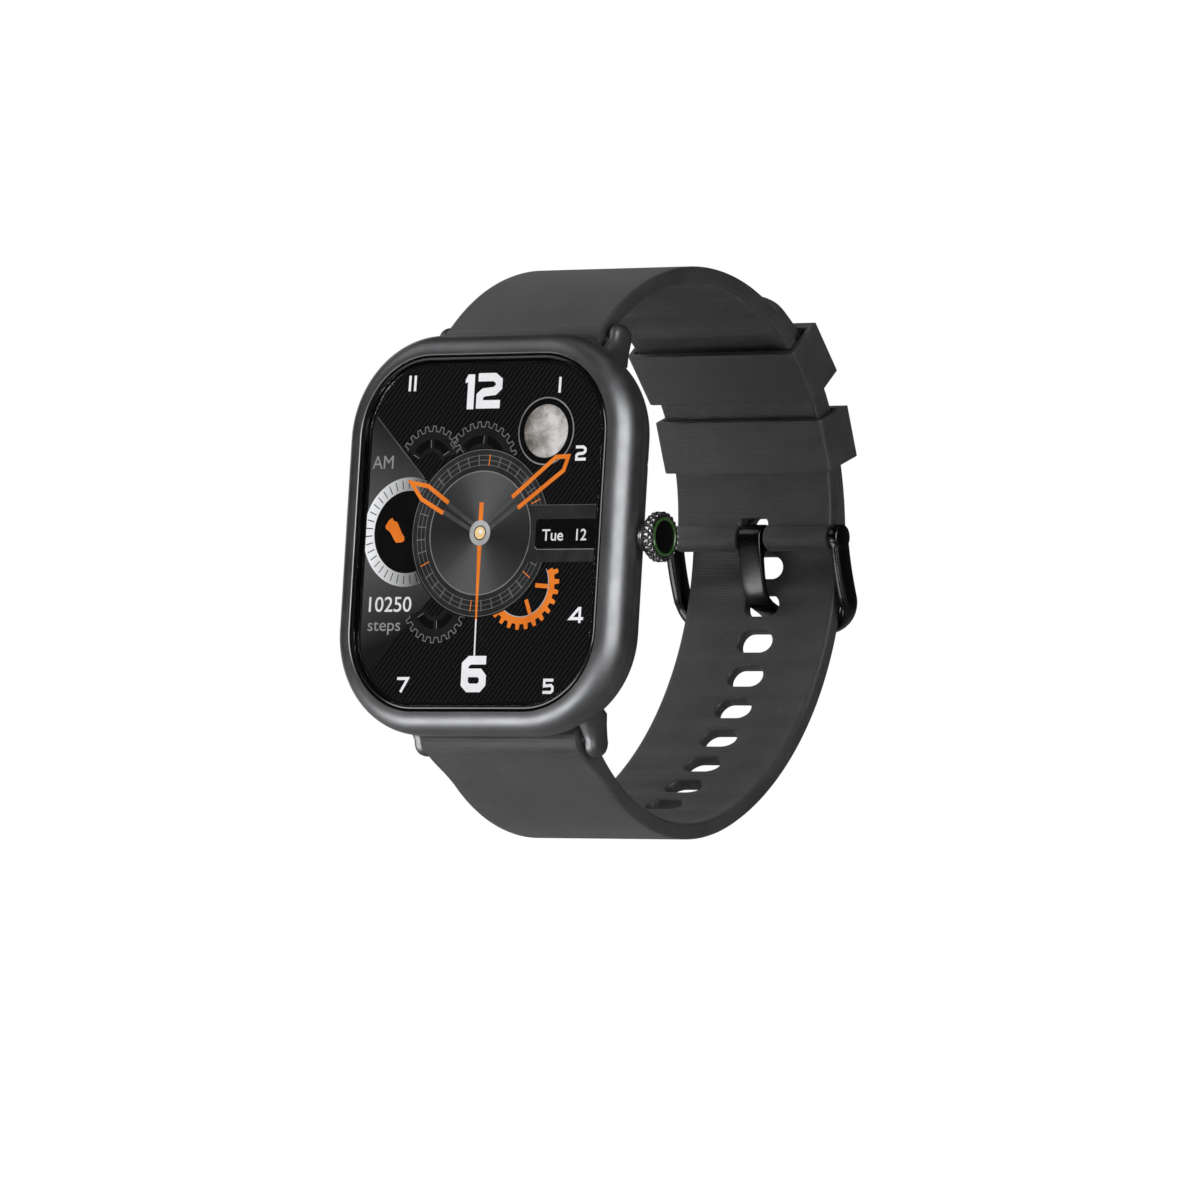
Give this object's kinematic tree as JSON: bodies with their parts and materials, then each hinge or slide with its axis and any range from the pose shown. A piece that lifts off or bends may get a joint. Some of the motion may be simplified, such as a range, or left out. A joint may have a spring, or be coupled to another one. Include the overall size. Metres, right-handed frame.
{
  "type": "smartwatch",
  "caption": "Rectangular smartwatch with a glass screen, a turning push crown, spring-bar lugs and a buckled rubber band with sliding keepers.",
  "frame": {"origin": "centre of the flat sensor window on the case back, where it rests on the wrist", "axes": "+Y out of the case back into the wrist, so the screen faces -Y; +Z towards twelve o'clock; +X towards the crown"},
  "size_m": [0.0419, 0.061, 0.0662],
  "materials": {
    "glass": "polished black-edged glass",
    "display": "gloss",
    "black_gasket": "matt",
    "gunmetal": "satin dark gunmetal coating",
    "inner_metal": "bare machined",
    "flex": "satin amber film",
    "board": "green solder mask",
    "steel": "fine brushed",
    "battery_foil": "silver laminate pouch",
    "dark_plastic": "fine matt",
    "sensor_glass": "dark tinted gloss",
    "led": "clear encapsulant",
    "gold": "gold plated",
    "red_rubber": "lightly greased",
    "black_metal": "polished black coating",
    "green_trim": "green enamel",
    "strap_rubber": "soft matt silicone with a fine weave"
  },
  "bodies": {
    "watch": {"cover_glass": "glass", "display_panel": "display", "display_gasket": "black_gasket", "bezel_frame": "gunmetal", "display_bracket": "inner_metal", "display_flex": "flex", "main_board": "board", "board_shields": "steel", "board_screws": "steel", "battery": "battery_foil", "vibration_motor": "steel", "speaker": "dark_plastic", "speaker_mesh": "steel", "microphone": "steel", "crown_switch": "steel", "mid_case": "gunmetal", "case_gasket": "black_gasket", "back_cover": "dark_plastic", "case_screws": "steel", "sensor_window": "sensor_glass", "sensor_board": "board", "sensor_leds": "led", "charging_pins": "gold", "charging_magnets": "steel", "crown_sleeve": "steel", "spring_bar_upper": "steel", "spring_bar_lower": "steel", "release_spring_upper": "steel", "release_spring_lower": "steel", "band_short": "strap_rubber", "band_long": "strap_rubber", "buckle_bar": "black_metal"},
    "crown_push": {"crown_plate": "steel"},
    "crown_turn": {"crown_shaft": "steel", "crown_seals": "red_rubber", "crown_circlip": "steel", "crown_knob": "black_metal", "crown_trim_ring": "green_trim", "crown_cap": "black_metal"},
    "upper_keeper": {"keeper_upper": "strap_rubber"},
    "lower_keeper": {"keeper_lower": "strap_rubber"},
    "upper_release": {"release_upper": "steel"},
    "lower_release": {"release_lower": "steel"},
    "buckle": {"buckle_frame": "black_metal"},
    "tongue": {"buckle_tongue": "black_metal"}
  },
  "joints": [
    {"name": "crown_press", "type": "slide", "parent": "watch", "child": "crown_push", "axis": [-1, 0, 0], "range_m": [0, 0.00035], "stiffness_N_per_m": 1500, "springref_m": -0.0003},
    {"name": "crown_spin", "type": "hinge", "parent": "crown_push", "child": "crown_turn", "pos_m": [0.019, -0.0048, 0], "axis": [1, 0, 0], "continuous": true},
    {"name": "upper_keeper_slide", "type": "hinge", "parent": "watch", "child": "upper_keeper", "pos_m": [0, 0.01704, 0.00532], "axis": [1, 0, 0], "range_deg": [0, 14]},
    {"name": "lower_keeper_slide", "type": "hinge", "parent": "watch", "child": "lower_keeper", "pos_m": [0, 0.01704, 0.00532], "axis": [1, 0, 0], "range_deg": [-8, 4]},
    {"name": "upper_release_slide", "type": "slide", "parent": "watch", "child": "upper_release", "axis": [1, 0, 0], "range_m": [0, 0.0013], "stiffness_N_per_m": 200, "springref_m": -0.001, "deforming": ["release_spring_upper"]},
    {"name": "lower_release_slide", "type": "slide", "parent": "watch", "child": "lower_release", "axis": [1, 0, 0], "range_m": [0, 0.0013], "stiffness_N_per_m": 200, "springref_m": -0.001, "deforming": ["release_spring_lower"]},
    {"name": "buckle_hinge", "type": "hinge", "parent": "watch", "child": "buckle", "pos_m": [0, 0.0442, 0.0056], "axis": [1, 0, 0], "range_deg": [0, 4]},
    {"name": "tongue_hinge", "type": "hinge", "parent": "watch", "child": "tongue", "pos_m": [0, 0.0442, 0.0056], "axis": [1, 0, 0], "range_deg": [0, 4]}
  ],
  "couplings": [
    {"joint": "tongue_hinge", "follows": "buckle_hinge", "ratio": 1}
  ]
}
